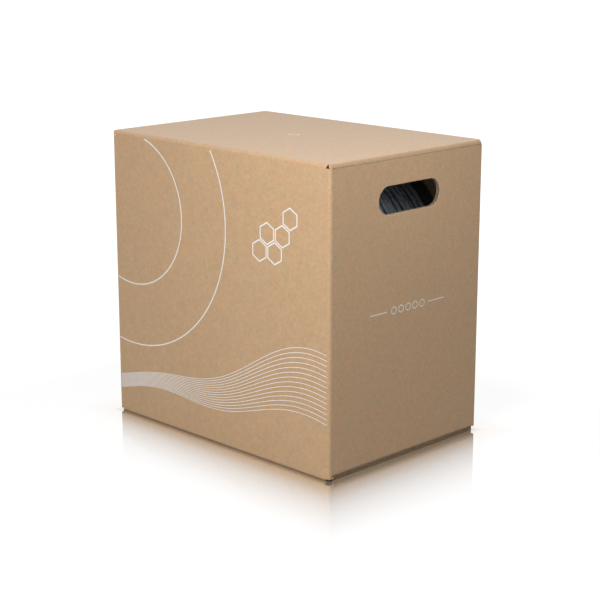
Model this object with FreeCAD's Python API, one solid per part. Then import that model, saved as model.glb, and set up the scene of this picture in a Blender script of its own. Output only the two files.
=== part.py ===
"""Cable spool box: a corrugated carton that stores and pays out a wound reel of network cable.

The carton is one die-cut blank of double-wall board, folded into four walls, four top flaps and four
bottom flaps. Solids can't bend, so the blank is split at its creases into one solid a panel. Inside,
two cradle pads stand against the long walls and hold a fixed axle in plastic cups. A moulded reel
with a full pack of cable spins on the axle. Each end wall has a hand hole, and the left end wall has
a plastic ring where the cable comes out.

Frame: millimetres, origin at the middle of the underside, +Z up, +X along the carton's length to the
right end wall, -Y towards the long front wall, whose top edge carries the cover flap's hinge.
"""

import FreeCAD, Part
import math
import os

V = FreeCAD.Vector

# ---- carton --------------------------------------------------------------------------------------
carton_length = 366.0
carton_depth = 256.0
carton_height = 355.0
board = 5.0                      # thickness of the double-wall board
fold_radius = 4.0                # outer rounding of the upright and bottom folds
cut_edge_radius = 2.0            # crushed upper edges of the cover flap where the board is cut
ply_gap = 0.3                    # gap between panels that lie on each other and can move apart
corner_notch_radius = 4.0        # ends of the die-cut slots beside the cover flap's crease
cover_corner_cut = 4.0           # chamfer of the cover flap's free corners
flap_slot = 0.5                  # gap between a flap's end and the board of the next wall
bottom_flap_setback = 1.5        # the outer bottom flap stops this far inside the walls' faces

dust_flap_length = 88.0
dust_flap_front_taper = 0.62     # sideways per unit of length, so that it clears the cover flap
back_flap_length = 112.0

hand_hole_width = 102.0
hand_hole_height = 32.0
hand_hole_drop = 50.5            # from the carton's top to the middle of the hole

glue_tab_width = 36.0
glue_tab_thickness = 3.0         # the tab is crushed where it is glued
glue_tab_inset = 6.0             # its ends stop this far from the flaps

# ---- cable outlet in the left end wall -----------------------------------------------------------
outlet_height = 92.0             # of its middle above the underside
outlet_bore_radius = 14.0
outlet_sleeve_radius = 18.0
outlet_flange_radius = 26.0
outlet_flange_thickness = 2.5

# ---- cradle, axle and cups -----------------------------------------------------------------------
pad_thickness = 10.0
pad_end_clearance = 4.0          # from a pad's ends to the end walls, past the glue tab
snug = 0.1                       # radial clearance of parts that are pushed into each other
running = 0.1                    # radial clearance of the reel on its axle
axle_radius = 12.5
axle_bore_radius = 9.5
cup_radius = 17.0
cup_floor = 1.5
cup_flange_radius = 28.0
cup_flange_thickness = 2.5

# ---- reel ----------------------------------------------------------------------------------------
reel_side_clearance = 1.5        # between a cup's flange and the reel's hub
reel_rim_clearance = 6.0         # between the rims and the flaps above and below
flange_thickness = 8.0
web_thickness = 3.0
rim_width = 5.0
hub_radius = 26.0
hub_sleeve_radius = 17.0
hub_sleeve_length = 24.0         # inwards from the flange's outer face
rib_thickness = 2.5
rib_count = 6
drum_radius = 86.0
drum_wall = 4.0
drum_collar_wall = 3.0
drum_collar_height = 7.0
pack_freeboard = 5.0             # from the cable's outer layer to the rim
pack_clearance = 0.2             # between the cable pack and the reel

tie_count = 3
tie_circle_radius = 46.0
tie_radius = 2.5
tie_hole_clearance = 0.25
tie_head_height = 3.4
tie_head_flats = 8.0             # across the flats of the heads and nuts
washer_radius = 7.0
washer_thickness = 1.2

# ---- levels and planes that follow from the sizes above ------------------------------------------
half_length = carton_length / 2
half_depth = carton_depth / 2
cover_bottom = carton_height - board
inner_flap_bottom = cover_bottom - ply_gap - board
other_wall_top = inner_flap_bottom - ply_gap
floor_top = 2 * board
hand_hole_middle = carton_height - hand_hole_drop
pad_face = half_depth - board - pad_thickness
reel_half_width = pad_face - cup_flange_thickness - reel_side_clearance
web_face = reel_half_width - flange_thickness
axle_height = (floor_top + inner_flap_bottom) / 2
flap_end_inset = board + flap_slot
flange_radius = min(inner_flap_bottom - axle_height, half_length - board) - reel_rim_clearance
pack_radius = flange_radius - pack_freeboard

X = V(1, 0, 0)
Y = V(0, 1, 0)
Z = V(0, 0, 1)


# ---- helpers -------------------------------------------------------------------------------------
def block(low, high):
    """A box between two opposite corners."""
    size = [h - l for l, h in zip(low, high)]
    return Part.makeBox(size[0], size[1], size[2], V(*low))


def plate(points, bottom, top):
    """An upright prism over a flat outline given as (x, y) points."""
    corners = [V(x, y, bottom) for x, y in dict.fromkeys(points)]
    face = Part.Face(Part.makePolygon(corners + corners[:1]))
    return face.extrude(V(0, 0, top - bottom))


def turned(profile, radius_axis=X, along=Y, centre=V(0, 0, axle_height)):
    """A solid of revolution from closed (radius, distance along the axis) points."""
    corners = [centre + radius_axis * r + along * a for r, a in profile]
    face = Part.Face(Part.makePolygon(corners + corners[:1]))
    return face.revolve(centre, along, 360)


def tube(outer, inner, start, length, axis=Y, centre=V(0, 0, axle_height)):
    """A straight tube along an axis."""
    body = Part.makeCylinder(outer, length, centre + axis * start, axis)
    return body.cut(Part.makeCylinder(inner, length, centre + axis * start, axis))


def mirror_x(shape):
    """The same piece on the carton's other end."""
    return shape.mirror(V(0, 0, 0), X)


def mirror_y(shape):
    """The same piece on the carton's other long side."""
    return shape.mirror(V(0, 0, 0), Y)


def edges_where(shape, test):
    """The shape's edges whose centre of mass passes a test."""
    return [e for e in shape.Edges if test(e)]


def near(a, b, tolerance=1e-4):
    return abs(a - b) < tolerance


def save(node, shape):
    """Writes one node's STEP file."""
    if not shape.isValid():
        raise ValueError(node + " is not a valid shape")
    shape.exportStep("parts/" + node + ".step")


# ---- carton walls --------------------------------------------------------------------------------
def rounded_sleeve(bottom, top):
    """The carton's outer form with its four upright folds rounded."""
    body = block((-half_length, -half_depth, bottom), (half_length, half_depth, top))
    upright = edges_where(body, lambda e: near(e.BoundBox.ZLength, top - bottom, 1e-3))
    return body.makeFillet(fold_radius, upright)


def long_wall(bottom, top):
    """The wall at -Y. Its ends are mitred where the next walls of the blank fold away from it."""
    outline = [
        (-half_length, -half_depth),
        (half_length, -half_depth),
        (half_length - board, -half_depth + board),
        (-half_length + board, -half_depth + board),
    ]
    return plate(outline, bottom, top).common(rounded_sleeve(bottom, top))


def end_wall(bottom, top):
    """The wall at +X, mitred against the long walls."""
    outline = [
        (half_length, -half_depth),
        (half_length, half_depth),
        (half_length - board, half_depth - board),
        (half_length - board, -half_depth + board),
    ]
    return plate(outline, bottom, top).common(rounded_sleeve(bottom, top))


def hand_hole():
    """The stadium-shaped cutter of the +X hand hole."""
    end_radius = hand_hole_height / 2
    straight = hand_hole_width / 2 - end_radius
    reach = 2 * board
    start = half_length - 1.5 * board
    low = (start, -straight, hand_hole_middle - end_radius)
    high = (start + reach, straight, hand_hole_middle + end_radius)
    cutter = block(low, high)
    for y in (-straight, straight):
        cutter = cutter.fuse(
            Part.makeCylinder(end_radius, reach, V(start, y, hand_hole_middle), X)
        )
    return cutter


def corner_posts():
    """The board left standing at the -Y corners beside the inner flaps, up to the cover flap."""
    low = (half_length - board, -half_depth, other_wall_top)
    high = (half_length, -half_depth + board, cover_bottom - ply_gap)
    post = block(low, high).common(rounded_sleeve(other_wall_top, cover_bottom))
    return [post, mirror_x(post)]


def front_wall():
    """The wall that carries the cover flap, which turns on its square top edge."""
    wall = long_wall(board, cover_bottom - ply_gap)
    return wall.fuse(corner_posts()).removeSplitter()


def back_wall():
    wall = long_wall(floor_top, other_wall_top)
    return mirror_y(wall.fuse(corner_posts()).removeSplitter())


def right_end_wall():
    return end_wall(floor_top, other_wall_top).cut(hand_hole())


def left_end_wall():
    """Like the right end wall, with a second hole for the cable outlet."""
    centre = V(-half_length - board, 0, outlet_height)
    outlet = Part.makeCylinder(outlet_sleeve_radius + snug, 3 * board, centre, X)
    return mirror_x(right_end_wall()).cut(outlet)


def glue_tab():
    """The strip at the end of the blank that is glued inside the left end wall."""
    low = (-half_length + board, half_depth - board - glue_tab_width, floor_top + glue_tab_inset)
    high = (
        low[0] + glue_tab_thickness,
        half_depth - board,
        other_wall_top - glue_tab_inset,
    )
    tab = block(low, high)
    free_corners = edges_where(
        tab,
        lambda e: near(e.BoundBox.XLength, glue_tab_thickness) and near(e.CenterOfMass.y, low[1]),
    )
    return tab.makeChamfer(2 * board, free_corners)


# ---- flaps ---------------------------------------------------------------------------------------
def hinged_flap(outline, half_width):
    """A flap in its own frame: the crease is the X axis and the board runs from it towards +Y.

    The root is rounded about the crease line, so that the flap can turn on the wall's top edge.
    """
    body = plate(outline, -board / 2, board / 2)
    root = Part.makeCylinder(board / 2, 2 * half_width, V(-half_width, 0, 0), X)
    return body.fuse(root).removeSplitter()


def back_flap_outline(root):
    """The flap on the back wall: a trapezium whose ends are mitred against the dust flaps.

    The root is where the outline starts, measured from the crease line into the carton.
    """
    half = half_length - flap_end_inset
    tip = half - back_flap_length
    return [
        (-half, root),
        (half, root),
        (half, 0),
        (tip, back_flap_length),
        (-tip, back_flap_length),
        (-half, 0),
    ]


def dust_flap_outline(root):
    """The flap on an end wall, seen with the carton's back at +X: mitred there and tapered in front."""
    half = half_depth - flap_end_inset
    front_tip = -half + dust_flap_length * dust_flap_front_taper
    return [
        (-half, root),
        (half, root),
        (half, 0),
        (half - dust_flap_length, dust_flap_length),
        (front_tip, dust_flap_length),
        (-half, 0),
    ]


def top_cover_flap():
    """The outer flap, which covers the whole top and turns on the front wall."""
    length = carton_depth - board / 2
    outline = [
        (-half_length, 0),
        (half_length, 0),
        (half_length, length - cover_corner_cut),
        (half_length - cover_corner_cut, length),
        (-half_length + cover_corner_cut, length),
        (-half_length, length - cover_corner_cut),
    ]
    flap = hinged_flap(outline, half_length)
    cut_edges = edges_where(
        flap, lambda e: near(e.CenterOfMass.z, board / 2) and e.CenterOfMass.y > board
    )
    flap = flap.makeFillet(cut_edge_radius, cut_edges)
    for x in (-half_length, half_length):
        slot_end = V(x, -board / 2, -board / 2)
        flap = flap.cut(Part.makeCylinder(corner_notch_radius, board, slot_end))
    flap.translate(V(0, -half_depth + board / 2, cover_bottom + board / 2))
    return flap


def top_back_flap():
    flap = hinged_flap(back_flap_outline(0), half_length - flap_end_inset)
    flap.rotate(V(0, 0, 0), Z, 180)
    flap.translate(V(0, half_depth - board / 2, inner_flap_bottom + board / 2))
    return flap


def top_dust_flap():
    """The dust flap at the +X end."""
    flap = hinged_flap(dust_flap_outline(0), half_depth - flap_end_inset)
    flap.rotate(V(0, 0, 0), Z, 90)
    flap.translate(V(half_length - board / 2, 0, inner_flap_bottom + board / 2))
    return flap


def bottom_cover_flap():
    """The outer bottom flap, glued over the others, with its crease on the front wall."""
    end = half_length - bottom_flap_setback
    flap = block((-end, -half_depth, 0), (end, half_depth - bottom_flap_setback, board))
    crease = edges_where(
        flap, lambda e: near(e.CenterOfMass.z, 0) and near(e.CenterOfMass.y, -half_depth)
    )
    return flap.makeFillet(fold_radius, crease)


def glued_flap(outline, turn, crease):
    """An inner bottom flap, folded in at the wall's foot, with its outer fold rounded."""
    flap = plate(outline, 0, board)
    fold = edges_where(
        flap, lambda e: near(e.CenterOfMass.z, 0) and near(e.CenterOfMass.y, -board / 2)
    )
    flap = flap.makeFillet(fold_radius, fold)
    flap.rotate(V(0, 0, 0), Z, turn)
    flap.translate(crease)
    return flap


def bottom_back_flap():
    crease = V(0, half_depth - board / 2, board)
    return glued_flap(back_flap_outline(-board / 2), 180, crease)


def bottom_dust_flap():
    """The bottom dust flap at the +X end."""
    crease = V(half_length - board / 2, 0, board)
    return glued_flap(dust_flap_outline(-board / 2), 90, crease)


# ---- outlet --------------------------------------------------------------------------------------
def outlet_ring():
    """The plastic ring pushed into the left end wall from inside, flush with the outer face."""
    sleeve_length = board + outlet_flange_thickness
    wall_face = -half_length + board
    centre = V(-half_length, 0, outlet_height)
    ring = tube(outlet_sleeve_radius, outlet_bore_radius, 0, sleeve_length, X, centre)
    flange_centre = V(wall_face, 0, outlet_height)
    flange = tube(
        outlet_flange_radius, outlet_bore_radius, 0, outlet_flange_thickness, X, flange_centre
    )
    return ring.fuse(flange).removeSplitter()


# ---- cradle and axle -----------------------------------------------------------------------------
def cradle_pad():
    """The board pad against the front wall, with a hole that seats an axle cup."""
    half = half_length - board - pad_end_clearance
    pad = block((-half, -half_depth + board, floor_top), (half, -pad_face, other_wall_top))
    hole = Part.makeCylinder(
        cup_radius + snug, 2 * pad_thickness, V(0, -half_depth, axle_height), Y
    )
    corners = edges_where(pad, lambda e: near(e.BoundBox.YLength, pad_thickness))
    return pad.makeChamfer(2 * board, corners).cut(hole)


def axle_cup():
    """The flanged blind cup in the front pad that holds the axle's end."""
    outer_end = -half_depth + board
    profile = [
        (0, outer_end),
        (cup_radius, outer_end),
        (cup_radius, -pad_face),
        (cup_flange_radius, -pad_face),
        (cup_flange_radius, -pad_face + cup_flange_thickness),
        (axle_radius + snug, -pad_face + cup_flange_thickness),
        (axle_radius + snug, outer_end + cup_floor),
        (0, outer_end + cup_floor),
    ]
    return turned(profile)


def axle_tube():
    end = half_depth - board - cup_floor - snug
    return tube(axle_radius, axle_bore_radius, -end, 2 * end)


# ---- reel ----------------------------------------------------------------------------------------
def tie_points():
    """Where the tie bolts cross the flanges, as (x, z), midway between ribs."""
    for i in range(tie_count):
        angle = math.radians(360 * (i + 0.5) / tie_count)
        yield (
            tie_circle_radius * math.cos(angle),
            axle_height + tie_circle_radius * math.sin(angle),
        )


def reel_flange():
    """The moulded flange at -Y: a thin web with a hub, a rim, ribs outside and a collar for the drum."""
    outer = -reel_half_width
    inner = -web_face
    web_outer = inner - web_thickness
    collar_outer = drum_radius - drum_wall - snug
    bore = axle_radius + running
    profile = [
        (bore, outer),
        (hub_radius, outer),
        (hub_radius, web_outer),
        (flange_radius - rim_width, web_outer),
        (flange_radius - rim_width, outer),
        (flange_radius, outer),
        (flange_radius, inner),
        (collar_outer, inner),
        (collar_outer, inner + drum_collar_height),
        (collar_outer - drum_collar_wall, inner + drum_collar_height),
        (collar_outer - drum_collar_wall, inner),
        (hub_sleeve_radius, inner),
        (hub_sleeve_radius, outer + hub_sleeve_length),
        (bore, outer + hub_sleeve_length),
    ]
    flange = turned(profile)
    ribs = []
    rib_start = hub_radius - rib_thickness
    rib_end = flange_radius - rim_width / 2
    for i in range(rib_count):
        rib = block(
            (rib_start, outer, axle_height - rib_thickness / 2),
            (rib_end, web_outer, axle_height + rib_thickness / 2),
        )
        rib.rotate(V(0, 0, axle_height), Y, 360 * (i + 0.5) / rib_count)
        ribs.append(rib)
    flange = flange.fuse(ribs)
    for x, z in tie_points():
        hole = Part.makeCylinder(
            tie_radius + tie_hole_clearance, 2 * flange_thickness, V(x, outer, z), Y
        )
        flange = flange.cut(hole)
    return flange.removeSplitter()


def reel_drum():
    return tube(drum_radius, drum_radius - drum_wall, -web_face, 2 * web_face)


def cable_pack():
    """The wound cable as one body, from the drum to the outer layer."""
    inner = drum_radius + pack_clearance
    half = web_face - pack_clearance
    return tube(pack_radius, inner, -half, 2 * half)


def hexagon(x, z, start, height):
    """A hexagonal head or nut along +Y."""
    corner = tie_head_flats / math.sqrt(3)
    points = []
    for i in range(6):
        angle = math.radians(60 * i)
        points.append(V(x + corner * math.cos(angle), start, z + corner * math.sin(angle)))
    return Part.Face(Part.makePolygon(points + points[:1])).extrude(Y * height)


def tie_bolts():
    """Bolts that clamp the flanges onto the drum, with their heads at the front."""
    seat = -web_face - web_thickness
    length = -2 * seat + washer_thickness + tie_head_height
    bolts = []
    for x, z in tie_points():
        shank = Part.makeCylinder(tie_radius, length, V(x, seat, z), Y)
        head = hexagon(x, z, seat - tie_head_height, tie_head_height)
        bolts.append(shank.fuse(head).removeSplitter())
    return Part.makeCompound(bolts)


def tie_nuts():
    seat = web_face + web_thickness + washer_thickness
    nuts = []
    for x, z in tie_points():
        bore = Part.makeCylinder(tie_radius, tie_head_height, V(x, seat, z), Y)
        nuts.append(hexagon(x, z, seat, tie_head_height).cut(bore))
    return Part.makeCompound(nuts)


def tie_washers():
    """A washer under each nut."""
    start = web_face + web_thickness
    washers = []
    for x, z in tie_points():
        centre = V(x, 0, z)
        washers.append(
            tube(washer_radius, tie_radius + snug, start, washer_thickness, Y, centre)
        )
    return Part.makeCompound(washers)


# ---- the nodes -----------------------------------------------------------------------------------
def main():
    os.makedirs("parts", exist_ok=True)
    save("front_wall", front_wall())
    save("back_wall", back_wall())
    save("right_end_wall", right_end_wall())
    save("left_end_wall", left_end_wall())
    save("glue_tab", glue_tab())

    save("top_cover_flap", top_cover_flap())
    save("top_back_flap", top_back_flap())
    save("top_dust_flap_right", top_dust_flap())
    save("top_dust_flap_left", mirror_x(top_dust_flap()))

    save("bottom_cover_flap", bottom_cover_flap())
    save("bottom_back_flap", bottom_back_flap())
    save("bottom_dust_flap_right", bottom_dust_flap())
    save("bottom_dust_flap_left", mirror_x(bottom_dust_flap()))

    save("outlet_ring", outlet_ring())

    save("cradle_pad_front", cradle_pad())
    save("cradle_pad_back", mirror_y(cradle_pad()))
    save("axle_cup_front", axle_cup())
    save("axle_cup_back", mirror_y(axle_cup()))
    save("axle_tube", axle_tube())

    save("reel_flange_front", reel_flange())
    save("reel_flange_back", mirror_y(reel_flange()))
    save("reel_drum", reel_drum())
    save("cable_pack", cable_pack())
    save("tie_bolts", tie_bolts())
    save("tie_nuts", tie_nuts())
    save("tie_washers", tie_washers())


main()
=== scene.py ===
"""Looks of the cable spool box: a corrugated carton on a pale floor, with a reel of cable inside."""

import math

import bmesh
import bpy
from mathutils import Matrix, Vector, geometry, noise

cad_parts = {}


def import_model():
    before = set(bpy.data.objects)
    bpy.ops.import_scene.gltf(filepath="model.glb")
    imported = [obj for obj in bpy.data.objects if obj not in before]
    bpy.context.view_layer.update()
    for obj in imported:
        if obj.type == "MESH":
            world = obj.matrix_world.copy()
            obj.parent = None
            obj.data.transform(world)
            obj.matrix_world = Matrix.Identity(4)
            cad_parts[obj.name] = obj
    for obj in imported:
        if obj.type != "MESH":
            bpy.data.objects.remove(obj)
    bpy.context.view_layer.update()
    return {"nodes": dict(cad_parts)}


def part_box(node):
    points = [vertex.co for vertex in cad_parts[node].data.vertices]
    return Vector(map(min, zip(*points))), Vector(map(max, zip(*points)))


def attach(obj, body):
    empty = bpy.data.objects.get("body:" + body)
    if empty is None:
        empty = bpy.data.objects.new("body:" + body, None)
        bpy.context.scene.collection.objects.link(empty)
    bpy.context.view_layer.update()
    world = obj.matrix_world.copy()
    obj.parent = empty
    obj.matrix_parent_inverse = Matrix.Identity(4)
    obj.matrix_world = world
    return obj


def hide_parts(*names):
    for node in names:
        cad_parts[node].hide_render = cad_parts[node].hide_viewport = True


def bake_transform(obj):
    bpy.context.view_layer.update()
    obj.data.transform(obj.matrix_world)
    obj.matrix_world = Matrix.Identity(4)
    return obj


MM = 0.001

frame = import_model()


def box_mm(node):
    """A CAD node's lowest and highest corners, in millimetres."""
    low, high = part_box(node)
    return low / MM, high / MM


# ---- sizes, read from the CAD nodes --------------------------------------------------------------
front_low, front_high = box_mm("front_wall")
cover_low, cover_high = box_mm("top_cover_flap")
back_flap_low, back_flap_high = box_mm("top_back_flap")
dust_low, dust_high = box_mm("top_dust_flap_right")
bottom_low, bottom_high = box_mm("bottom_cover_flap")
end_low, _ = box_mm("right_end_wall")
ring_low, ring_high = box_mm("outlet_ring")
reel_low, reel_high = box_mm("reel_flange_front")
pack_low, pack_high = box_mm("cable_pack")
_, drum_high = box_mm("reel_drum")

SKIN = 0.03                       # the board's faces stay this far inside the CAD box, for the ink
BOARD = bottom_high.z - bottom_low.z
HALF_X = front_high.x
HALF_Y = -front_low.y
FACE_X = HALF_X - SKIN
FACE_Y = HALF_Y - SKIN
POST_TOP = cover_low.z - 0.05
FLOOR_TOP = end_low.z
FOLD_RADIUS = 4.0
INNER_FOLD_RADIUS = 0.22
REACH = 5.5                       # of a fold piece along the wall and the flap, from the crease line
FLUTE_PITCH = 2.7
INNER_FLUTE_PITCH = 3.1
AXLE_Z = (reel_low.z + reel_high.z) / 2

HOLE_MIDDLE = 304.5               # of the hand holes above the underside
HOLE_RADIUS = 16.0
HOLE_STRAIGHT = 35.0

# ---- materials -----------------------------------------------------------------------------------
class Graph:
    """A material's node tree, built in a few words."""

    def __init__(self, name):
        self.material = bpy.data.materials.new(name)
        self.material.use_nodes = True
        self.tree = self.material.node_tree
        self.shader = self.tree.nodes["Principled BSDF"]
        self.out = self.tree.nodes["Material Output"]

    def node(self, kind, inputs=(), **settings):
        made = self.tree.nodes.new("ShaderNode" + kind)
        for key, value in settings.items():
            setattr(made, key, value)
        for key, value in dict(inputs).items():
            self.put(made.inputs[key], value)
        return made

    def put(self, socket, value):
        if isinstance(value, bpy.types.NodeSocket):
            self.tree.links.new(value, socket)
        else:
            socket.default_value = value

    def object_point(self, scale=(1, 1, 1)):
        made = self.node("Mapping", {"Vector": self.node("TexCoord").outputs["Object"]})
        made.inputs["Scale"].default_value = scale
        return made.outputs["Vector"]

    def noise(self, vector, scale, detail=2.0, roughness=0.5):
        values = {"Vector": vector, "Scale": scale, "Detail": detail, "Roughness": roughness}
        return self.node("TexNoise", values).outputs["Fac"]

    def math(self, operation, a, b=0.0):
        made = self.node("Math", {0: a, 1: b}, operation=operation)
        return made.outputs[0]

    def remap(self, value, low, high, to_low, to_high):
        names = ("From Min", "From Max", "To Min", "To Max")
        values = dict(zip(names, (low, high, to_low, to_high)))
        return self.node("MapRange", {"Value": value, **values}).outputs["Result"]

    def mix(self, factor, a, b, blend="MIX"):
        made = self.node("Mix", data_type="RGBA", blend_type=blend)
        self.put(made.inputs[0], factor)
        self.put(made.inputs[6], a)
        self.put(made.inputs[7], b)
        return made.outputs[2]

    def bump(self, height, distance, strength=1.0, normal=None):
        made = self.node("Bump", {"Height": height, "Distance": distance, "Strength": strength})
        if normal is not None:
            self.put(made.inputs["Normal"], normal)
        return made.outputs["Normal"]

    def finish(self, **values):
        for key, value in values.items():
            self.put(self.shader.inputs[key.replace("_", " ")], value)
        return self.material


def shade(color, factor):
    return tuple(c * factor for c in color[:3]) + (1.0,)


def kraft(name, color, fleck=0.075, mottle=0.04, rough=0.62):
    """Brown liner paper: cloudy at large and small scale, with grain and short fibres."""
    g = Graph(name)
    point = g.object_point()
    cloud = g.noise(point, 9.0, 3.0, 0.55)
    fine_cloud = g.noise(point, 90.0, 4.0, 0.65)
    curd = g.noise(point, 230.0, 2.0, 0.6)
    grain = g.noise(point, 520.0, 3.0, 0.7)
    weave = g.noise(g.object_point((300, 300, 190)), 1.0, 2.0, 0.6)
    tone = g.remap(cloud, 0.3, 0.7, 1 - mottle / 3, 1 + mottle / 3)
    tone = g.math("MULTIPLY", tone, g.remap(fine_cloud, 0.3, 0.7, 1 - mottle, 1 + mottle))
    tone = g.math("MULTIPLY", tone, g.remap(curd, 0.3, 0.7, 1 - mottle, 1 + mottle))
    tone = g.math("MULTIPLY", tone, g.remap(grain, 0.3, 0.7, 1 - fleck, 1 + fleck))
    tone = g.math("MULTIPLY", tone, g.remap(weave, 0.3, 0.7, 1 - fleck / 2, 1 + fleck / 2))
    grey = g.node("CombineColor", {0: tone, 1: tone, 2: tone}).outputs[0]
    base = g.mix(1.0, color, grey, "MULTIPLY")
    warmth = g.remap(g.noise(point, 55.0, 2.0), 0.35, 0.65, 0.0, 1.0)
    tint = g.mix(warmth, (1.03, 0.99, 0.97, 1), (0.975, 1.005, 1.02, 1))
    base = g.mix(1.0, base, tint, "MULTIPLY")
    for seed, threshold, factor, share in ((3.1, 0.67, 0.55, 0.6), (8.3, 0.68, 1.35, 0.55)):
        speck = g.noise(g.object_point((410 + seed, 390, 430 - seed)), 1.0, 1.5, 0.5)
        amount = g.remap(speck, threshold, threshold + 0.06, 0.0, share)
        base = g.mix(amount, base, shade(color, factor))
    normal = g.bump(g.math("ADD", grain, g.math("MULTIPLY", weave, 0.5)), 0.00012, 0.5)
    roughness = g.remap(fine_cloud, 0.3, 0.7, rough - 0.05, rough + 0.05)
    return g.finish(
        Base_Color=base,
        Roughness=roughness,
        Normal=normal,
        Specular_IOR_Level=0.6,
        Sheen_Weight=0.18,
        Sheen_Roughness=0.4,
    )


def plastic(name, color, rough=0.45, grain=0.00003, scale=900.0):
    """Moulded plastic with a fine grain and slightly uneven gloss."""
    g = Graph(name)
    point = g.object_point()
    cloud = g.noise(point, 30.0, 2.0)
    base = g.mix(g.remap(cloud, 0.3, 0.7, 0.0, 1.0), shade(color, 0.9), shade(color, 1.1))
    normal = g.bump(g.noise(point, scale, 2.0), grain, 0.5)
    roughness = g.remap(cloud, 0.3, 0.7, rough - 0.05, rough + 0.05)
    return g.finish(Base_Color=base, Roughness=roughness, Normal=normal)


def zinc(name):
    g = Graph(name)
    point = g.object_point()
    cloud = g.noise(point, 260.0, 3.0)
    base = g.mix(cloud, (0.55, 0.56, 0.58, 1), (0.72, 0.72, 0.7, 1))
    roughness = g.remap(cloud, 0.3, 0.7, 0.28, 0.42)
    return g.finish(Base_Color=base, Roughness=roughness, Metallic=1.0)


def white_ink(name):
    g = Graph(name)
    point = g.object_point()
    wear = g.remap(g.noise(point, 900.0, 3.0, 0.7), 0.35, 0.5, 0.0, 1.0)
    base = g.mix(wear, (0.72, 0.68, 0.62, 1), (0.88, 0.87, 0.85, 1))
    return g.finish(Base_Color=base, Roughness=0.55)


LINER_COLOR = (0.514, 0.334, 0.184, 1)
liner = kraft("kraft_liner", LINER_COLOR)
# Cut edges are set darker than the liner as painted shade, for the shade they stand in.
cut_board = kraft("board_cut_edge", (0.37, 0.268, 0.172, 1), fleck=0.12, mottle=0.08, rough=0.85)
groove_board = kraft("board_flute_shadow", (0.045, 0.03, 0.018, 1), fleck=0.12, mottle=0.08, rough=0.9)
# A copy of the cut-edge kraft for the bottom board's cut edges, its tone set for the band of shade at
# the carton's foot: painted shade.
foot_shade_cut = kraft("board_cut_painted_shade", (0.43, 0.31, 0.19, 1), fleck=0.12, mottle=0.08, rough=0.9)
slot_board = kraft("board_slot_shadow", (0.025, 0.018, 0.012, 1), rough=0.95)
cradle_board = kraft("cradle_board", (0.44, 0.32, 0.205, 1), fleck=0.06, mottle=0.06, rough=0.8)
reel_plastic = plastic("reel_plastic", (0.05, 0.05, 0.055), 0.45, 0.00005)
cup_plastic = plastic("cup_plastic", (0.38, 0.39, 0.4), 0.45)
axle_plastic = plastic("axle_plastic", (0.66, 0.66, 0.63), 0.35, 0.00001)
outlet_plastic = plastic("outlet_plastic", (0.035, 0.035, 0.04), 0.35, 0.00002)
cable_jacket = plastic("cable_jacket", (0.25, 0.3, 0.35), 0.28, 0.00001)
# The same jacket made darker: painted shade for the cable layer below the outer one and the pack's
# body.
shaded_lower_jacket = plastic("cable_jacket_painted_shade", (0.045, 0.055, 0.07), 0.4, 0.00001)
fastener_zinc = zinc("fastener_zinc")
ink = white_ink("white_ink")
BOARD_MATERIALS = [liner, cut_board, groove_board, slot_board]
LINER, CUT, GROOVE, SLOT = 0, 1, 2, 3


# ---- meshes --------------------------------------------------------------------------------------
class Shape:
    """Faces with shared corners, in millimetres, that become one mesh object."""

    def __init__(self):
        self.points = []
        self.index = {}
        self.faces = []
        self.marks = []
        self.smooth = []

    def corner(self, point):
        key = tuple(round(c, 4) for c in point)
        if key not in self.index:
            self.index[key] = len(self.points)
            self.points.append(Vector(point))
        return self.index[key]

    def face(self, corners, mark=0, smooth=True):
        """One face. The large flat ones aren't smooth, so a rounded edge doesn't shade them."""
        ids = [self.corner(p) for p in corners]
        ids = [i for k, i in enumerate(ids) if i != ids[k - 1]]
        if len(set(ids)) > 2:
            self.faces.append(ids)
            self.marks.append(mark)
            self.smooth.append(smooth)

    def skin(self, a, b, mark=0, closed=True):
        """Quads between two rows of points."""
        count = len(a)
        for i in range(count if closed else count - 1):
            j = (i + 1) % count
            self.face([a[i], a[j], b[j], b[i]], mark)

    def fill(self, outline, holes, place, inside_hole, mark=0):
        """A flat face with holes. The outlines are flat points, and place puts one in space."""
        points = []
        edges = []
        for loop in [outline] + holes:
            start = len(points)
            points += [Vector(p) for p in loop]
            edges += [(start + i, start + (i + 1) % len(loop)) for i in range(len(loop))]
        made, _, faces, _, _, _ = geometry.delaunay_2d_cdt(points, edges, [], 1, 1e-6)
        for face in faces:
            middle = sum((made[i] for i in face), Vector((0, 0))) / len(face)
            if not inside_hole(middle):
                self.face([place(made[i]) for i in face], mark, False)

    def piece(self, name, materials, sharp=32.0):
        mesh = bpy.data.meshes.new(name)
        mesh.from_pydata([p * MM for p in self.points], [], self.faces)
        for material in materials:
            mesh.materials.append(material)
        mesh.polygons.foreach_set("material_index", self.marks)
        work = bmesh.new()
        work.from_mesh(mesh)
        bmesh.ops.recalc_face_normals(work, faces=work.faces)
        work.to_mesh(mesh)
        work.free()
        mesh.set_sharp_from_angle(angle=math.radians(sharp))
        mesh.polygons.foreach_set("use_smooth", self.smooth)
        mesh.update()
        made = bpy.data.objects.new(name, mesh)
        bpy.context.scene.collection.objects.link(made)
        return made


def wobble(point, scale, amount, seed=0.0):
    """A smooth, repeatable unevenness at a point in millimetres."""
    return noise.noise(Vector(point) * scale + Vector((seed, seed * 1.7, 0))) * amount


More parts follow.
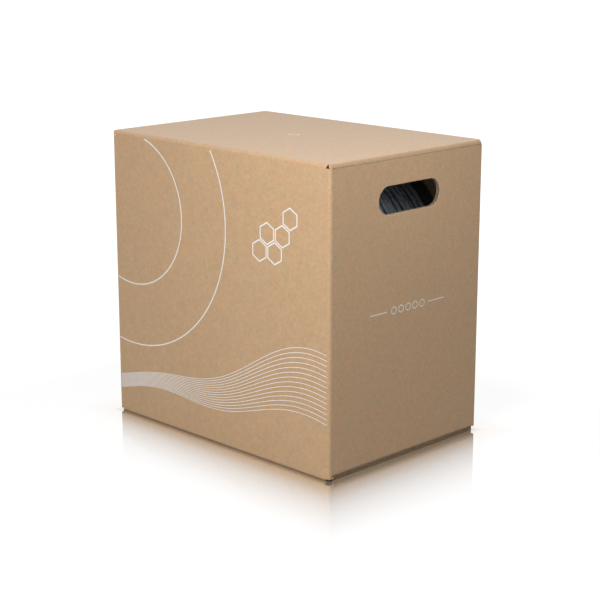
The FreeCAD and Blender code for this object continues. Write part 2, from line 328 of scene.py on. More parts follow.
# The cut edge of double-wall board, from its outer face: (depth below the face, how far it is set
# back from the cut, what the face up to the next point shows). Two open channels of flutes lie
# between three liners, and the outer liner is crushed down by the die.
CUT_PROFILE = [
    (0.0, 0.9, LINER),
    (0.08, 0.45, LINER),
    (0.28, 0.12, LINER),
    (0.55, 0.0, CUT),
    (0.75, 0.0, CUT),
    (0.8, 0.2, GROOVE),
    (0.85, 1.6, GROOVE),
    (2.4, 1.6, GROOVE),
    (2.45, 0.2, CUT),
    (2.5, 0.03, CUT),
    (2.85, 0.03, CUT),
    (2.9, 0.2, GROOVE),
    (2.95, 1.6, GROOVE),
    (4.35, 1.6, GROOVE),
    (4.4, 0.2, CUT),
    (4.45, 0.03, CUT),
    (4.8, 0.03, LINER),
    (5.0, 0.3, LINER),
]
# The cover's crushed edge: its outer liner is rolled down over the flutes to the inner one.
ROLL = 2.4
ROLL_DEPTH = 4.3
ROLLED_PROFILE = [
    (
        ROLL_DEPTH * (1 - math.cos(math.pi / 16 * i)),
        ROLL * (1 - math.sin(math.pi / 16 * i)),
        LINER,
    )
    for i in range(8)
] + [
    (ROLL_DEPTH, 0.0, LINER),
    (4.75, 0.0, LINER),
    (5.0, 0.03, LINER),
]
# (middle, half of the height, pitch) of the fluted papers in the two channels
FLUTES = [(1.62, 0.7, FLUTE_PITCH), (3.65, 0.62, INNER_FLUTE_PITCH)]
MEDIUM = 0.22                     # thickness of the fluted paper as it shows


def flute_ribbon(shape, stations, place):
    """The fluted papers in a cut edge. A station is (where it is, its coordinate across the flutes)."""
    for depth, swing, pitch in FLUTES:
        rows = []
        for where, across in stations:
            middle = depth + swing * math.sin(2 * math.pi * across / pitch)
            front = 0.12 + 0.25 * abs(wobble((across, depth, 0), 0.6, 1.0))
            corners = ((middle - MEDIUM / 2, front), (middle + MEDIUM / 2, front))
            corners += ((middle + MEDIUM / 2, 1.45), (middle - MEDIUM / 2, 1.45))
            rows.append([place(where, d, s) for d, s in corners])
        for a, b in zip(rows, rows[1:]):
            shape.skin(a, b, CUT)
        shape.face(rows[0], CUT)
        shape.face(rows[-1], CUT)


# ---- carton walls --------------------------------------------------------------------------------
def stadium(radius, straight, grow):
    """A closed row of (y, z) points round a hand hole."""
    arc_steps = 140
    straight_steps = 10
    points = []
    for side in (1, -1):
        for i in range(arc_steps):
            angle = math.pi * i / arc_steps - math.pi / 2
            r = radius + grow
            points.append((side * (straight + r * math.cos(angle)), side * r * math.sin(angle)))
        for i in range(straight_steps):
            y = straight - 2 * straight * i / straight_steps
            points.append((side * y, side * (radius + grow)))
    return points


def in_stadium(point):
    y = max(abs(point.x) - HOLE_STRAIGHT, 0.0)
    return math.hypot(y, point.y - HOLE_MIDDLE) < HOLE_RADIUS


def box_faces(shape, low, high, mark=LINER):
    """A closed block."""
    x, y, z = zip(low, high)
    bottom = [(x[0], y[0], z[0]), (x[1], y[0], z[0]), (x[1], y[1], z[0]), (x[0], y[1], z[0])]
    top = [(a, b, z[1]) for a, b, _ in bottom]
    shape.skin(bottom, top, mark)
    shape.face(bottom, mark, False)
    shape.face(top, mark, False)


COLUMN = 1.0                      # flat strip of a corner post beside its rounded fold
COLUMN_START_X = FACE_X - FOLD_RADIUS - COLUMN
COLUMN_START_Y = FACE_Y - FOLD_RADIUS - COLUMN


def corner_column(shape, sx, sy, bottom, top):
    """A rounded upright fold with a flat strip to each side of it."""
    steps = 16
    outline = [(COLUMN_START_X, FACE_Y)]
    for i in range(steps + 1):
        angle = math.pi / 2 * (1 - i / steps)
        x = FACE_X - FOLD_RADIUS + FOLD_RADIUS * math.cos(angle)
        y = FACE_Y - FOLD_RADIUS + FOLD_RADIUS * math.sin(angle)
        outline.append((x, y))
    outline += [(FACE_X, COLUMN_START_Y), (HALF_X - BOARD, COLUMN_START_Y)]
    outline += [(HALF_X - BOARD - 0.3, HALF_Y - BOARD - 0.3), (COLUMN_START_X, HALF_Y - BOARD)]
    low = [(sx * x, sy * y, bottom) for x, y in outline]
    high = [(sx * x, sy * y, top) for x, y in outline]
    shape.skin(low, high, LINER)
    shape.face(low, CUT)
    shape.face(high, CUT)


def end_wall_face(shape, side, x, grow, top):
    """An end wall's outer or inner face, with its holes."""
    rows = stadium(HOLE_RADIUS, HOLE_STRAIGHT, grow)
    hole = [(y, z + HOLE_MIDDLE) for y, z in rows]
    edge = COLUMN_START_Y
    outline = [(-edge, FLOOR_TOP), (edge, FLOOR_TOP), (edge, top), (-edge, top)]
    holes = [hole]
    ring_z = (ring_low.z + ring_high.z) / 2
    if side < 0:
        turns = [math.pi * i / 32 for i in range(64)]
        holes.append(
            [(OUTLET_HOLE * math.cos(a), ring_z + OUTLET_HOLE * math.sin(a)) for a in turns]
        )

    def inside(p):
        if in_stadium(p):
            return True
        return side < 0 and math.hypot(p.x, p.y - ring_z) < OUTLET_HOLE * 0.98

    shape.fill(outline, holes, lambda p: (side * x, p[0], p[1]), inside)
    return holes


OUTLET_HOLE = 18.1


def end_wall(shape, side, top):
    """An end wall with its hand hole's cut edge, and the outlet's hole in the left one."""
    edge = COLUMN_START_Y
    outer = end_wall_face(shape, side, FACE_X, CUT_PROFILE[0][1], top)
    inner = end_wall_face(shape, side, HALF_X - BOARD, CUT_PROFILE[-1][1], top)
    rim = [(-edge, FLOOR_TOP), (edge, FLOOR_TOP), (edge, top), (-edge, top)]
    shape.skin(
        [(side * FACE_X, y, z) for y, z in rim],
        [(side * (HALF_X - BOARD), y, z) for y, z in rim],
        CUT,
    )
    if side < 0:
        shape.skin(
            [(side * FACE_X, y, z) for y, z in outer[1]],
            [(side * (HALF_X - BOARD), y, z) for y, z in inner[1]],
            CUT,
        )
    rows = []
    for k, (depth, back, mark) in enumerate(CUT_PROFILE):
        loop = []
        x = FACE_X if k == 0 else HALF_X - depth
        for y, z in stadium(HOLE_RADIUS, HOLE_STRAIGHT, back):
            ends = k in (0, len(CUT_PROFILE) - 1)
            if not ends and back < 1:
                y0, z0 = stadium_direction(y, z)
                uneven = wobble((x, y, z), 0.55, 0.22, side * 3.0) + 0.05
                y, z = y + y0 * uneven, z + z0 * uneven
            loop.append((side * x, y, z + HOLE_MIDDLE))
        rows.append((loop, mark))
    for (a, mark), (b, _) in zip(rows, rows[1:]):
        shape.skin(a, b, mark)
    base = stadium(HOLE_RADIUS, HOLE_STRAIGHT, 0)
    stations = [((y, z), z) for y, z in base + base[:1]]

    def place(where, depth, back):
        y, z = where
        y0, z0 = stadium_direction(y, z)
        return (side * (HALF_X - depth), y + y0 * back, z + z0 * back + HOLE_MIDDLE)

    flute_ribbon(shape, stations, place)


def stadium_direction(y, z):
    """The direction out of a hand hole's edge into the board."""
    dy = math.copysign(max(abs(y) - HOLE_STRAIGHT, 0.0), y)
    length = math.hypot(dy, z)
    return dy / length, z / length


FRONT_TOP = cover_low.z + BOARD / 2 - REACH
INNER_CREASE_Z = dust_high.z - BOARD / 2
OTHER_TOP = INNER_CREASE_Z - REACH
FRONT_BOTTOM = BOARD / 2 + REACH


def carton_sleeve():
    shape = Shape()
    box_faces(
        shape,
        (-COLUMN_START_X, -FACE_Y, FRONT_BOTTOM),
        (COLUMN_START_X, -HALF_Y + BOARD, FRONT_TOP),
    )
    box_faces(
        shape,
        (-COLUMN_START_X, HALF_Y - BOARD, FLOOR_TOP),
        (COLUMN_START_X, FACE_Y, OTHER_TOP),
    )
    for sx in (-1, 1):
        corner_column(shape, sx, -1, BOARD + 0.05, POST_TOP)
        corner_column(shape, sx, 1, BOARD + 0.5, POST_TOP)
        end_wall(shape, sx, OTHER_TOP)
    made = shape.piece("carton_sleeve", BOARD_MATERIALS)
    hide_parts("front_wall", "back_wall", "right_end_wall", "left_end_wall")
    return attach(made, "carton")


# ---- folds and flaps -----------------------------------------------------------------------------
LEDGE = -BOARD / 2                # a fold widens here, above the posts at the carton's corners


def fold_section(radius, arc_steps=16):
    """A folded board's section as (outwards, upwards) points about the crease line."""
    half = BOARD / 2
    outer = half - SKIN
    centre = outer - radius
    points = [(outer, -REACH), (outer, -4.5), (outer, LEDGE - 0.02), (outer, LEDGE + 0.02)]
    points.append((outer, centre - 0.4))
    for i in range(arc_steps + 1):
        angle = math.pi / 2 * i / arc_steps
        points.append((centre + radius * math.cos(angle), centre + radius * math.sin(angle)))
    points += [(centre - 0.8, outer), (-4.5, outer), (-REACH + 0.5, outer)]
    points += [(-REACH + 0.5, -half), (-half - 1.2, -half)]
    for i in range(5):
        angle = math.pi / 2 * (1 - i / 4)
        r = 0.8
        points.append((-half - r + r * math.cos(angle), -half - r + r * math.sin(angle)))
    points += [(-half, -half - 1.2), (-half, -REACH)]
    return points


def even_shares(count):
    return [2 * k / count - 1 for k in range(count + 1)]


def fold(name, radius, extent, place, uneven=0.2, shares=None, shaped=None):
    """A fold as a sweep along its crease. extent(outwards, upwards) is how far it reaches to each
    side, and shaped(along, outwards, upwards) changes a point and says whether it is in a slot."""
    shape = Shape()
    section = fold_section(radius)
    rows = []
    cut = []
    for share in shares or even_shares(40):
        row = []
        row_cut = []
        for o, u in section:
            low, high = extent(o, u)
            along = low + (high - low) * (share + 1) / 2
            if o > -BOARD / 2 and u > -BOARD / 2:
                weight = max(0.0, 1 - abs(o - u) / 3.5)
                wave = 0.5 + 0.5 * noise.noise(Vector((along * 0.06, radius, 0)))
                o, u = o - weight * uneven * wave, u - weight * uneven * wave
            slot = False
            if shaped:
                o, u, slot = shaped(along, o, u)
            row.append(place(along, o, u))
            row_cut.append(slot)
        rows.append(row)
        cut.append(row_cut)
    count = len(section)
    for k in range(len(rows) - 1):
        a, b = rows[k], rows[k + 1]
        for i in range(count):
            j = (i + 1) % count
            inside = sum((cut[k][i], cut[k][j], cut[k + 1][i], cut[k + 1][j]))
            shape.face([a[i], a[j], b[j], b[i]], SLOT if inside > 1 else LINER)
    shape.face(rows[0], LINER)
    shape.face(rows[-1], LINER)
    return shape.piece(name, BOARD_MATERIALS, 40.0)


def inset(outline, distances):
    """A convex outline with each edge moved inwards by its own distance."""
    count = len(outline)
    lines = []
    for i in range(count):
        a, b = Vector(outline[i]), Vector(outline[(i + 1) % count])
        along = (b - a).normalized()
        inward = Vector((-along.y, along.x))
        lines.append((a + inward * distances[i], along))
    made = []
    for i in range(count):
        (p, d), (q, e) = lines[i - 1], lines[i]
        cross = d.x * e.y - d.y * e.x
        t = ((q - p).x * e.y - (q - p).y * e.x) / cross
        made.append(tuple(p + d * t))
    return made


def flap_board(name, outline, cut_edges, wave, place, profile=CUT_PROFILE):
    """A flat flap. The outline runs round it to the left, wave is the direction across the flutes,
    and place(x, y, depth below the outer face) puts a point in space."""
    shape = Shape()
    fluted = profile is CUT_PROFILE
    rows = []
    outline = [Vector(p) for p in outline]
    for k, (depth, back, mark) in enumerate(profile):
        loop = []
        flat = inset(outline, [back if cut else 0.0 for cut in cut_edges])
        for i, corner in enumerate(flat):
            following = flat[(i + 1) % len(flat)]
            a, b = Vector(corner), Vector(following)
            steps = max(1, int((outline[(i + 1) % len(outline)] - outline[i]).length / 3.0))
            along = (b - a).normalized()
            inward = Vector((-along.y, along.x))
            for s in range(steps):
                p = a.lerp(b, s / steps)
                sink = depth
                if cut_edges[i] and s and 0 < k < len(profile) - 1 and back < 1:
                    push = 0.25 if fluted else 0.06
                    p += inward * abs(wobble((p.x, p.y, depth), push, 0.5, len(name)))
                loop.append((p.x, p.y, sink if k else SKIN))
        rows.append(([place(*p) for p in loop], mark))
    for (a, mark), (b, _) in zip(rows, rows[1:]):
        shape.skin(a, b, mark)
    shape.face(rows[0][0], LINER, False)
    shape.face(rows[-1][0], LINER, False)
    for i, cut in enumerate(cut_edges):
        if not (cut and fluted):
            continue
        a, b = outline[i], outline[(i + 1) % len(outline)]
        along = (b - a).normalized()
        inward = Vector((-along.y, along.x))
        across = abs(along.dot(Vector(wave)))
        a, b = a + along * 0.8, b - along * 0.8
        step = 0.36 / max(across, 0.02)
        steps = max(2, int((b - a).length / step))
        stations = []
        for s in range(steps + 1):
            p = a.lerp(b, s / steps)
            stations.append((p, p.dot(Vector(wave))))

        def set_in(where, depth, back):
            p = where + inward * back
            return place(p.x, p.y, depth)

        flute_ribbon(shape, stations, set_in)
    return shape.piece(name, BOARD_MATERIALS)


COVER_CREASE = (-HALF_Y + BOARD / 2, cover_low.z + BOARD / 2)
NOTCH_X = FACE_X - FOLD_RADIUS
SLOT_MIDDLE = NOTCH_X - 0.2       # of the die-cut slot beside the carton's upright fold
SLOT_HALF_WIDTH = 2.4
SLOT_TOP = 1.9                    # above the crease line


def rounded_end(x, o, u):
    """Rounds a long fold's end to the carton's upright fold and to the cover's rolled edge."""
    outer = BOARD / 2 - SKIN
    past = min(max(x - NOTCH_X, 0.0) / FOLD_RADIUS, 1.0)
    o = min(o, outer - FOLD_RADIUS * (1 - math.sqrt(1 - past * past)))
    past = min(max(x - FACE_X + ROLL, 0.0) / ROLL, 1.0)
    return o, min(u, outer - ROLL_DEPTH * (1 - math.sqrt(1 - past * past)))


def top_corner(along, o, u):
    """The cover's fold at its ends, with a narrow slot that gapes at the right corner."""
    o, u = rounded_end(abs(along), o, u)
    share = (u - LEDGE) / (SLOT_TOP - LEDGE)
    if along > 0 and o > -1.6 and 0 < share < 1:
        width = SLOT_HALF_WIDTH * (1 - share) ** 0.7
        if abs(along - SLOT_MIDDLE) < width:
            return o - 2.6, u - 0.8 * share, True
    return o, u, False


def bottom_corner(along, o, u):
    """The bottom fold at its ends, with a low slot across the corner."""
    x = abs(along)
    o, u = rounded_end(x, o, u)
    if o > -1.6 and u > -0.6 and abs(x - FACE_X + 2.7) < 3.1:
        return o - 2.6, u, True
    return o, u, False


def corner_shares():
    """Where a long fold's rows stand: close together at both ends."""
    end = [(NOTCH_X - 4 + 0.3 * i) / FACE_X for i in range(27)] + [1.0]
    middle = [k / 24 * end[0] for k in range(-23, 24)]
    return [-v for v in reversed(end)] + middle + end


def long_extent(o, u):
    reach = COLUMN_START_X if u < LEDGE else FACE_X
    return -reach, reach


def cover_fold():
    def place(x, o, u):
        return (x, COVER_CREASE[0] - o, COVER_CREASE[1] + u)

    made = fold(
        "cover_fold_board", FOLD_RADIUS, long_extent, place, 0.3, corner_shares(), top_corner
    )
    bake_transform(made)
    return made


def cover_board():
    start = COVER_CREASE[0] + REACH - 0.5
    outline = [
        (-FACE_X, start),
        (FACE_X, start),
        (FACE_X, FACE_Y - 4.0),
        (FACE_X - 4.0, FACE_Y),
        (-FACE_X + 4.0, FACE_Y),
        (-FACE_X, FACE_Y - 4.0),
    ]
    cut = [False, True, True, True, True, True]
    top = cover_high.z
    made = flap_board(
        "cover_board", outline, cut, (0, 1), lambda x, y, d: (x, y, top - d), ROLLED_PROFILE
    )
    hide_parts("top_cover_flap")
    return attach(made, "top_cover")


def inner_fold(name, along_low, along_high, slope_low, slope_high, place, inward):
    """An inner flap's fold. Below the ledge it fills the wall between the corner posts."""
    wide_high = COLUMN_START_Y if inward[0] else COLUMN_START_X
    wide_low = -wide_high
    def extent(o, u):
        if u < LEDGE:
            return wide_low, wide_high
        depth = max(-o, 0.0)
        return along_low + slope_low * depth, along_high - slope_high * depth

    made = fold(name, INNER_FOLD_RADIUS, extent, place, 0.15)
    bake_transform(made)
    return made


FLAP_END = HALF_X - back_flap_high.x
BACK_LENGTH = back_flap_high.y - BOARD / 2 - back_flap_low.y
DUST_LENGTH = dust_high.x - BOARD / 2 - dust_low.x
DUST_TAPER = 0.62


def back_flap():
    """The top back flap's fold and board. Its ends are mitred."""
    half = HALF_X - FLAP_END
    crease = HALF_Y - BOARD / 2
    inner_fold(
        "back_fold_board",
        -half,
        half,
        1.0,
        1.0,
        lambda x, o, u: (x, crease + o, INNER_CREASE_Z + u),
        (0, -1),
    )
    start = REACH - 0.5
    outline = [
        (half - start, crease - start),
        (-half + start, crease - start),
        (-half + BACK_LENGTH, crease - BACK_LENGTH),
        (half - BACK_LENGTH, crease - BACK_LENGTH),
    ]
    cut = [False, True, True, True]
    top = back_flap_high.z
    made = flap_board("back_flap_board", outline, cut, (0, 1), lambda x, y, d: (x, y, top - d))
    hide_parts("top_back_flap")
    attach(made, "top_back")


def dust_flap(side, word):
    """A top dust flap's fold and board, mitred at the back and tapered in front."""
    half = HALF_Y - FLAP_END
    crease = HALF_X - BOARD / 2
    inner_fold(
        "dust_fold_board_" + word,
        -half,
        half,
        DUST_TAPER,
        1.0,
        lambda y, o, u: (side * (crease + o), y, INNER_CREASE_Z + u),
        (-side, 0),
    )
    start = REACH - 0.5
    outline = [
        (crease - start, -half + DUST_TAPER * start),
        (crease - start, half - start),
        (crease - DUST_LENGTH, half - DUST_LENGTH),
        (crease - DUST_LENGTH, -half + DUST_TAPER * DUST_LENGTH),
    ]
    cut = [False, True, True, True]
    top = dust_high.z
    made = flap_board(
        "dust_flap_board_" + word, outline, cut, (1, 0), lambda x, y, d: (side * x, y, top - d)
    )
    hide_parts("top_dust_flap_" + word)
    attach(made, "top_dust_" + word)


def bottom_flap():
    """The outer bottom flap: a fold at the front wall's foot, and a board whose cut edges show."""
    crease_y = -HALF_Y + BOARD / 2
    crease_z = BOARD / 2
    def place(x, o, u):
        return (x, crease_y - o, crease_z - u)

    low = fold(
        "bottom_fold_board", FOLD_RADIUS, long_extent, place, 0.25, corner_shares(), bottom_corner
    )
    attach(low, "carton")
    start = crease_y + REACH - 0.5
    outline = [
        (-bottom_high.x, start),
        (bottom_high.x, start),
        (bottom_high.x, bottom_high.y - 4.0),
        (bottom_high.x - 4.0, bottom_high.y),
        (-bottom_high.x + 4.0, bottom_high.y),
        (-bottom_high.x, bottom_high.y - 4.0),
    ]
    cut = [False, True, True, True, True, True]
    made = flap_board("bottom_board", outline, cut, (0, 1), lambda x, y, d: (x, y, d))
    # The bottom board's cut edges take the copy of the cut-edge kraft toned as painted shade for the
    # carton's foot.
    made.data.materials[CUT] = foot_shade_cut
    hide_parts("bottom_cover_flap")
    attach(made, "carton")


# ---- print ---------------------------------------------------------------------------------------
def strip(shape, points, width, place):
    """A flat line of ink through (a, b) points of a face."""
    points = [Vector(p) for p in points]
    left = []
    right = []
    last = len(points) - 1
    closed = (points[0] - points[last]).length < 1e-6
    for i, p in enumerate(points):
        before = points[i - 1] if i else (points[last - 1] if closed else p)
        after = points[i + 1] if i < last else (points[1] if closed else p)
        a = (p - before).normalized() if (p - before).length > 1e-9 else (after - p).normalized()
        b = (after - p).normalized() if (after - p).length > 1e-9 else a
        along = (a + b).normalized()
        side = Vector((-along.y, along.x))
        stretch = 1 / max(side.dot(Vector((-a.y, a.x))), 0.5)
        left.append(place(p + side * width / 2 * stretch))
        right.append(place(p - side * width / 2 * stretch))
    shape.skin(left, right, 0, closed=False)


LINE = 1.5


def clip(points, low, high):
    """The stretches of a line that lie inside a rectangle."""
    runs = [[]]
    for p in points:
        if low[0] <= p[0] <= high[0] and low[1] <= p[1] <= high[1]:
            runs[-1].append(p)
        elif runs[-1]:
            runs.append([])
    return [r for r in runs if len(r) > 2]


def arc_points(centre, radius, start, end, step=0.8):
    count = max(3, int(radius * abs(end - start) / step))
    made = []
    for i in range(count + 1):
        angle = start + (end - start) * i / count
        made.append((centre[0] + radius * math.cos(angle), centre[1] + radius * math.sin(angle)))
    return made


def hexagon_points(centre, radius):
    made = []
    for i in range(7):
        angle = math.pi / 3 * i + math.pi / 6
        made.append((centre[0] + radius * math.cos(angle), centre[1] + radius * math.sin(angle)))
    return made


def front_print():
    """Thin white lines: large arcs, a few hexagons and a ribbon of fine flowing lines."""
    shape = Shape()
    low = (-FACE_X + FOLD_RADIUS, 8.0)
    high = (FACE_X - FOLD_RADIUS, POST_TOP)

    def place(p):
        return (p[0], -HALF_Y, p[1])

    for radius in (92, 168):
        for run in clip(arc_points((-150, 262), radius, 0, 2 * math.pi), low, high):
            strip(shape, run, LINE, place)
    cell = 14.0
    for column, row in ((0, 0), (1, 0), (0.5, 1), (1.5, 1), (2, 2)):
        centre = (74 + column * cell * math.sqrt(3), 246 + row * cell * 1.5)
        strip(shape, hexagon_points(centre, cell - 1.6), LINE, place)
    lines = 14
    for k in range(lines):
        share = k / (lines - 1)
        points = []
        for i in range(420):
            x = low[0] + (high[0] - low[0]) * i / 419
            along = i / 419
            ease = along * along * (3 - 2 * along)
            spread = 17 + 62 * ease ** 1.5
            middle = 40 + 62 * ease + 9 * math.sin(along * 9.0)
            points.append((x, middle + spread * (share - 0.5)))
        for run in clip(points, low, high):
            strip(shape, run, 0.75, place)
    made = shape.piece("front_print", [ink])
    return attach(made, "carton")


def end_print():
    """A short mark of thin open shapes on the right end wall."""
    shape = Shape()

    def place(p):
        return (HALF_X, p[0], p[1])

    z = 178.0
    strip(shape, [(-63 + i * 0.5, z) for i in range(56)], 1.1, place)
    for k in range(5):
        strip(shape, hexagon_points((-24 + 12 * k, z), 4.4), 1.0, place)
    strip(shape, [(35 + i * 0.5, z) for i in range(56)], 1.1, place)
    made = shape.piece("end_print", [ink])
    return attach(made, "carton")


def top_print():
    shape = Shape()
    top = cover_high.z
    strip(shape, hexagon_points((0, 0), 6.5), 1.2, lambda p: (p[0], p[1], top))
    made = shape.piece("top_print", [ink])
    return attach(made, "top_cover")


# ---- cable, outlet -------------------------------------------------------------------------------
CABLE = 6.0


BUNDLE_TURNS = 4
BUNDLE_GAP = 5.0                  # between the bundles of the outer layer
BUNDLE_CROWN = 4.6                # how far a bundle's outer turns sit below its middle ones
LAYER_STEP = 7.0                  # from the outer layer to the one below it


def winding(shape, radius, turns, direction, steps, ring, gap, seed, mark=0):
    """One layer of cable as a tube along a helix round the reel's axis, in bundles if gap isn't 0."""
    half = pack_high.y - CABLE / 2 - 0.3
    bundles = turns / BUNDLE_TURNS
    pitch = (2 * half - gap * (bundles - 1)) / turns
    rows = []
    for i in range(turns * steps + 1):
        turn = i / steps
        angle = direction * 2 * math.pi * turn - math.pi / 2
        cos, sin = math.cos(angle), math.sin(angle)
        bundle = turn / BUNDLE_TURNS
        whole = math.floor(bundle)
        ease = min(max((bundle - whole - 0.93) / 0.07, 0.0), 1.0)
        y = -half + pitch * turn + gap * (whole + ease * ease * (3 - 2 * ease))
        y = min(y, half)
        crown = 1 - abs(2 * (bundle - whole) - 1) if gap else 1.0
        r = radius - BUNDLE_CROWN * (1 - crown) ** 2
        r += wobble((cos * 3, turn * 0.9, sin * 3), 0.9, 0.7, seed) - 0.25
        y += wobble((cos * 2, turn * 0.7, sin * 2), 1.1, 0.35, seed + 5)
        row = []
        for k in range(ring):
            t = 2 * math.pi * k / ring
            rr = r + CABLE / 2 * math.cos(t)
            row.append((rr * cos, y + CABLE / 2 * math.sin(t), AXLE_Z + rr * sin))
        rows.append(row)
    for a, b in zip(rows, rows[1:]):
        shape.skin(a, b, mark)
    shape.face(rows[0], mark)
    shape.face(rows[-1], mark)


def cable_windings():
    """The outer layer of cable, the one below it, and the body of the pack under them; the last two
    take a darker copy of the jacket as painted shade.
    """
    shape = Shape()
    radius = (pack_high.z - pack_low.z) / 2 - CABLE / 2 - 0.1
    winding(shape, radius, 26, 1, 96, 12, BUNDLE_GAP, 1.0)
    winding(shape, radius - LAYER_STEP, 31, -1, 72, 8, 0.0, 2.0, 1)
    steps = 96
    turns = [2 * math.pi * i / steps for i in range(steps)]
    body = radius - LAYER_STEP - 1.0
    rows = []
    for r, y in (
        (drum_high.x + 0.2, -pack_high.y),
        (body, -pack_high.y),
        (body, pack_high.y),
        (drum_high.x + 0.2, pack_high.y),
    ):
        rows.append([(r * math.cos(a), y, AXLE_Z + r * math.sin(a)) for a in turns])
    for a, b in zip(rows, rows[1:] + rows[:1]):
        shape.skin(a, b, 1)
    made = shape.piece("cable_windings", [cable_jacket, shaded_lower_jacket], 50.0)
    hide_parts("cable_pack")
    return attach(made, "reel")


def outlet():
    """The cable outlet's ring with rounded lips."""
    shape = Shape()
    steps = 96
    wall = -HALF_X + BOARD
    bore, sleeve, flange = 14.0, 18.0, ring_high.y
    inner = ring_high.x
    profile = []
    for i in range(9):
        angle = math.pi / 2 * i / 8
        profile.append((bore + 3 - 3 * math.cos(angle), -HALF_X + 3 - 3 * math.sin(angle)))
    profile += [(sleeve - 0.4, -HALF_X), (sleeve, -HALF_X + 0.4), (sleeve, wall), (flange - 0.5, wall)]
    profile += [(flange, wall + 0.5), (flange, inner - 0.8), (flange - 0.8, inner)]
    for i in range(9):
        angle = math.pi / 2 * (1 - i / 8)
        profile.append((bore + 3 - 3 * math.cos(angle), inner - 3 + 3 * math.sin(angle)))
    z = (ring_low.z + ring_high.z) / 2
    rows = []
    for r, x in profile:
        row = []
        for i in range(steps):
            angle = 2 * math.pi * i / steps
            row.append((x, r * math.cos(angle), z + r * math.sin(angle)))
        rows.append(row)
    for a, b in zip(rows, rows[1:] + rows[:1]):
        shape.skin(a, b)
    made = shape.piece("outlet_ring_moulded", [outlet_plastic])
    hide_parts("outlet_ring")
    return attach(made, "carton")


carton_sleeve()
cover_fold()
cover_board()
back_flap()
dust_flap(1, "right")
dust_flap(-1, "left")
bottom_flap()
front_print()
end_print()
top_print()
cable_windings()
outlet()

DRESS = {
    "glue_tab": liner,
    "bottom_back_flap": liner,
    "bottom_dust_flap_right": liner,
    "bottom_dust_flap_left": liner,
    "cradle_pad_front": cradle_board,
    "cradle_pad_back": cradle_board,
    "axle_cup_front": cup_plastic,
    "axle_cup_back": cup_plastic,
    "axle_tube": axle_plastic,
    "reel_flange_front": reel_plastic,
    "reel_flange_back": reel_plastic,
    "reel_drum": reel_plastic,
    "tie_bolts": fastener_zinc,
    "tie_nuts": fastener_zinc,
    "tie_washers": fastener_zinc,
}
for name, material in DRESS.items():
    slots = frame["nodes"][name].data.materials
    slots.clear()
    slots.append(material)


# ---- stage, lights and camera --------------------------------------------------------------------
AMBIENT = 0.2
# How far from the closed carton's footprint each of these reaches on the floor, in metres
MIRROR_REACH = 0.165
PAINTED_BOUNCE_REACH = 0.05
PAINTED_CONTACT_REACH = 0.014


def stage_floor():
    """A white floor that keeps the object's shadow and mirrors its foot faintly. The mirror's strength
    goes by the distance from the closed carton's footprint, and so do two marks painted into the
    floor's white glow: painted bounce light, a brown-orange tint near the carton, and a painted
    contact shadow, a dark brown line at its foot."""
    g = Graph("floor_white")
    tree = g.tree
    tree.nodes.remove(g.shader)
    path = g.node("LightPath")
    seen = g.math("MAXIMUM", path.outputs["Is Camera Ray"], path.outputs["Is Glossy Ray"])
    seen = g.math("MAXIMUM", seen, path.outputs["Is Transmission Ray"])
    point = g.node("SeparateXYZ", {0: g.node("TexCoord").outputs["Object"]})
    away_x = g.math("SUBTRACT", g.math("ABSOLUTE", point.outputs["X"]), HALF_X * MM)
    away_y = g.math("SUBTRACT", g.math("ABSOLUTE", point.outputs["Y"]), HALF_Y * MM)
    away_y = g.math("MULTIPLY", away_y, g.remap(point.outputs["X"], -0.18, 0.18, 1.3, 1.0))
    away = g.math("MAXIMUM", g.math("MAXIMUM", away_x, away_y), 0.0)
    mirror = g.math("POWER", g.remap(away, 0.0, MIRROR_REACH, 1.0, 0.0), 2.3)
    # A painted contact shadow at the carton's foot: there the mirror weakens and the glow turns dark
    # brown.
    painted_contact_shade = g.math("POWER", g.remap(away, 0.0, PAINTED_CONTACT_REACH, 1.0, 0.0), 2.0)
    mirror = g.math("MULTIPLY", mirror, g.remap(painted_contact_shade, 0.0, 1.0, 0.94, 0.68))
    diffuse = g.node("BsdfDiffuse", {"Color": (0.2, 0.2, 0.2, 1)})
    open_floor = g.remap(away, 0.15, 0.5, 0.85, 1.05)
    # Painted bounce light: near the carton the floor's glow is tinted brown-orange by distance, not by
    # any light.
    painted_bounce = g.math("POWER", g.remap(away, 0.0, PAINTED_BOUNCE_REACH, 1.0, 0.0), 2.0)
    bounced = g.mix(painted_bounce, (1, 1, 1, 1), (0.8, 0.55, 0.28, 1))
    glow_color = g.mix(painted_contact_shade, bounced, (0.3, 0.18, 0.09, 1))
    glow = g.node("Emission", {"Color": glow_color, "Strength": open_floor})
    lit = g.node("AddShader", {0: diffuse.outputs[0], 1: glow.outputs[0]})
    gloss = g.node("BsdfGlossy", {"Color": (1, 1, 1, 1), "Roughness": 0.05})
    shown = g.node("MixShader", {0: mirror, 1: lit.outputs[0], 2: gloss.outputs[0]})
    plain = g.node("BsdfDiffuse", {"Color": (0.4, 0.4, 0.4, 1)})
    final = g.node("MixShader", {0: seen, 1: plain.outputs[0], 2: shown.outputs[0]})
    tree.links.new(final.outputs[0], g.out.inputs["Surface"])
    bpy.ops.mesh.primitive_plane_add(size=12, location=(0, 0, -0.0002))
    floor = bpy.context.object
    floor.name = "floor"
    floor.data.materials.append(g.material)


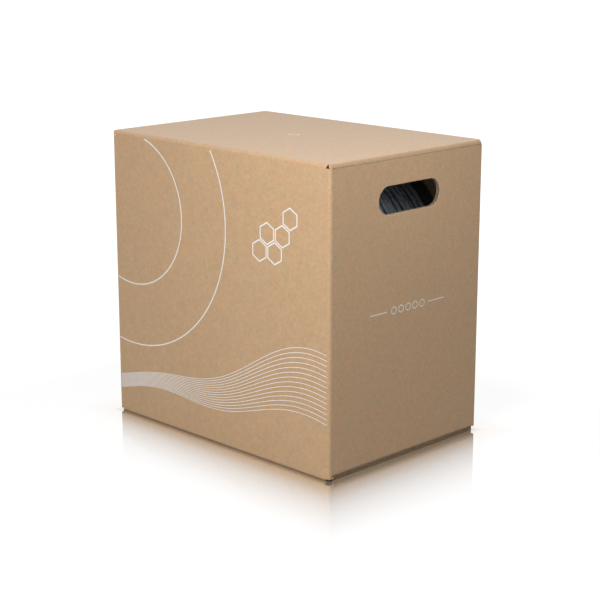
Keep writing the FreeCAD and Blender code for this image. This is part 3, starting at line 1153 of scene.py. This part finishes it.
def world():
    made = bpy.data.worlds.new("studio")
    bpy.context.scene.world = made
    made.use_nodes = True
    nodes, links = made.node_tree.nodes, made.node_tree.links
    nodes.clear()
    path = nodes.new("ShaderNodeLightPath")
    seen = nodes.new("ShaderNodeMath")
    seen.operation = "MAXIMUM"
    links.new(path.outputs["Is Camera Ray"], seen.inputs[0])
    links.new(path.outputs["Is Glossy Ray"], seen.inputs[1])
    also = nodes.new("ShaderNodeMath")
    also.operation = "MAXIMUM"
    links.new(seen.outputs[0], also.inputs[0])
    links.new(path.outputs["Is Transmission Ray"], also.inputs[1])
    soft = nodes.new("ShaderNodeBackground")
    soft.inputs["Color"].default_value = (1, 1, 1, 1)
    soft.inputs["Strength"].default_value = AMBIENT
    white = nodes.new("ShaderNodeBackground")
    white.inputs["Color"].default_value = (1, 1, 1, 1)
    white.inputs["Strength"].default_value = 1.0
    mix = nodes.new("ShaderNodeMixShader")
    links.new(also.outputs[0], mix.inputs[0])
    links.new(soft.outputs[0], mix.inputs[1])
    links.new(white.outputs[0], mix.inputs[2])
    out = nodes.new("ShaderNodeOutputWorld")
    links.new(mix.outputs[0], out.inputs["Surface"])


def area_light(name, place, target, size, energy, color=(1, 1, 1)):
    data = bpy.data.lights.new(name, "AREA")
    data.shape = "RECTANGLE"
    data.size, data.size_y = size
    data.energy = energy
    data.color = color
    made = bpy.data.objects.new(name, data)
    made.location = place
    direction = Vector(target) - Vector(place)
    made.rotation_euler = direction.to_track_quat("-Z", "Y").to_euler()
    made.visible_camera = False
    bpy.context.scene.collection.objects.link(made)
    return made


stage_floor()
world()
area_light("key", (0.33, -0.58, 0.58), (0.1, -0.1, 0.25), (0.3, 0.3), 2.2)
area_light("front", (0.55, -2.1, 0.95), (0, -0.1, 0.2), (0.8, 0.6), 17.2)
area_light("top", (-0.1, 0.2, 1.9), (0, 0, 0.3), (1.2, 1.2), 11.4)
area_light("side", (0.91, 0.97, 1.07), (0.15, 0, 0.29), (0.35, 0.35), 2.1)
# The last two are for the hand hole: strip shines in from outside, and inside is a weak lamp within
# the closed carton, so the windings look darker under other light.
area_light("strip", (0.42, 0.0, 0.44), (0.183, 0.0, 0.31), (0.25, 0.05), 0.2)
area_light("inside", (0.145, -0.02, 0.332), (0.1, 0.06, 0.27), (0.02, 0.02), 0.0038)

CAMERA_LENS = 93.3
CAMERA_DIP = 14.32                # degrees below level
CAMERA_TURN = 45.0
camera_data = bpy.data.cameras.new("camera")
camera_data.sensor_width = 36.0
camera_data.lens = CAMERA_LENS
camera = bpy.data.objects.new("camera", camera_data)
camera.location = (1.3014, -1.2915, 0.6206)
camera.rotation_euler = (math.radians(90 - CAMERA_DIP), 0, math.radians(CAMERA_TURN))
bpy.context.scene.collection.objects.link(camera)
bpy.context.scene.camera = camera
bpy.context.scene.view_settings.view_transform = "Standard"
